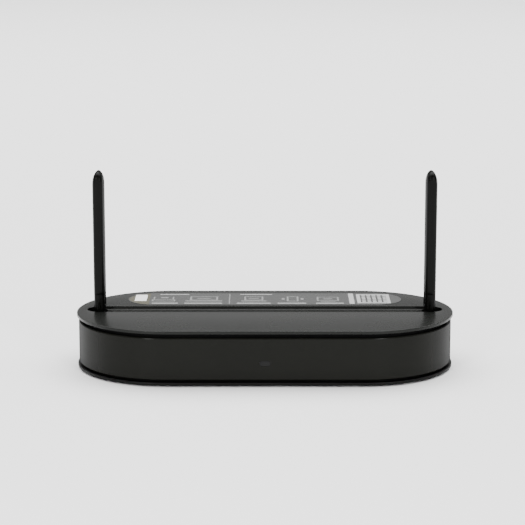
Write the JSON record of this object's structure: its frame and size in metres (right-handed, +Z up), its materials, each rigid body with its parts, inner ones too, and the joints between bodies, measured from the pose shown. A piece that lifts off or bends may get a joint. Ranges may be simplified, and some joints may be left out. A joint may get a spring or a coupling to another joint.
{
  "type": "wireless router",
  "caption": "Flat racetrack-shaped wireless router with blade antennas that fold into a channel in its lid and network sockets at the rear.",
  "frame": {"origin": "on the table under the middle of the case, at the undersides of the feet", "axes": "+X to the right seen from the front, +Y to the rear where the sockets are, +Z up"},
  "size_m": [0.25, 0.123, 0.1301],
  "materials": {
    "lid_plastic": "satin moulded plastic, very fine texture",
    "band_plastic": "semi-gloss black moulded plastic",
    "inner_plastic": "matt black moulded plastic",
    "base_plastic": "fine-textured black moulded plastic",
    "antenna_plastic": "gloss black moulded plastic",
    "label_film": "printed satin film",
    "sticker_paper": "coated white paper",
    "foot_rubber": "matt rubber",
    "board_laminate": "green solder mask over glass laminate",
    "chip_plastic": "moulded black component body",
    "screw_steel": "zinc-plated steel",
    "shield_metal": "tinned sheet metal",
    "sink_aluminium": "extruded aluminium",
    "jack_plastic": "black glass-filled plastic",
    "pad_silicone": "soft grey silicone pad",
    "lamp_resin": "clear lamp resin",
    "window_resin": "smoked clear plastic",
    "lead_jacket": "thin coaxial lead jacket",
    "button_plastic": "satin black plastic"
  },
  "bodies": {
    "root": {"lid": "lid_plastic", "side_band": "band_plastic", "chassis_frame": "inner_plastic", "hinge_bracket_left": "inner_plastic", "hinge_bracket_right": "inner_plastic", "base_plate": "base_plastic", "port_panel": "base_plastic", "setup_label": "label_film", "key_sticker": "sticker_paper", "foot_1": "foot_rubber", "foot_2": "foot_rubber", "foot_3": "foot_rubber", "foot_4": "foot_rubber", "main_board": "board_laminate", "processor": "chip_plastic", "memory_chip": "chip_plastic", "flash_chip": "chip_plastic", "transformer_block": "chip_plastic", "smoothing_capacitor": "chip_plastic", "power_switch": "chip_plastic", "pair_switch": "chip_plastic", "reset_switch": "chip_plastic", "power_inlet": "chip_plastic", "case_screw_1": "screw_steel", "case_screw_2": "screw_steel", "case_screw_3": "screw_steel", "case_screw_4": "screw_steel", "board_screw_1": "screw_steel", "board_screw_2": "screw_steel", "board_screw_3": "screw_steel", "board_screw_4": "screw_steel", "hinge_washer_left_front": "screw_steel", "hinge_washer_left_rear": "screw_steel", "hinge_washer_right_front": "screw_steel", "hinge_washer_right_rear": "screw_steel", "wifi_shield_left": "shield_metal", "wifi_shield_right": "shield_metal", "usb_port": "shield_metal", "heat_sink": "sink_aluminium", "wan_jack": "jack_plastic", "lan_jack_1": "jack_plastic", "lan_jack_2": "jack_plastic", "lan_jack_3": "jack_plastic", "lan_jack_4": "jack_plastic", "thermal_pad": "pad_silicone", "status_lamp": "lamp_resin", "light_guide": "window_resin", "antenna_lead_left": "lead_jacket", "antenna_lead_right": "lead_jacket"},
    "antenna_left": {"antenna_sleeve_left": "antenna_plastic", "antenna_knuckle_left": "antenna_plastic", "antenna_board_left": "board_laminate", "hinge_pin_left": "screw_steel"},
    "antenna_right": {"antenna_sleeve_right": "antenna_plastic", "antenna_knuckle_right": "antenna_plastic", "antenna_board_right": "board_laminate", "hinge_pin_right": "screw_steel"},
    "power_button": {"power_button": "button_plastic"},
    "pair_button": {"pair_button": "button_plastic"},
    "reset_button": {"reset_button": "button_plastic"}
  },
  "joints": [
    {"name": "antenna_left_fold", "type": "hinge", "parent": "root", "child": "antenna_left", "pos_m": [-0.1099, 0.0038, 0.03882], "axis": [0, 1, 0], "range_deg": [0, 90]},
    {"name": "antenna_right_fold", "type": "hinge", "parent": "root", "child": "antenna_right", "pos_m": [0.1099, 0.0038, 0.03882], "axis": [0, -1, 0], "range_deg": [0, 90]},
    {"name": "power_button_press", "type": "slide", "parent": "root", "child": "power_button", "axis": [0, -1, 0], "range_m": [0, 0.002], "stiffness_N_per_m": 500},
    {"name": "pair_button_press", "type": "slide", "parent": "root", "child": "pair_button", "axis": [0, -1, 0], "range_m": [0, 0.0006], "stiffness_N_per_m": 1200},
    {"name": "reset_button_press", "type": "slide", "parent": "root", "child": "reset_button", "axis": [0, 0, 1], "range_m": [0, 0.0005], "stiffness_N_per_m": 1200}
  ]
}
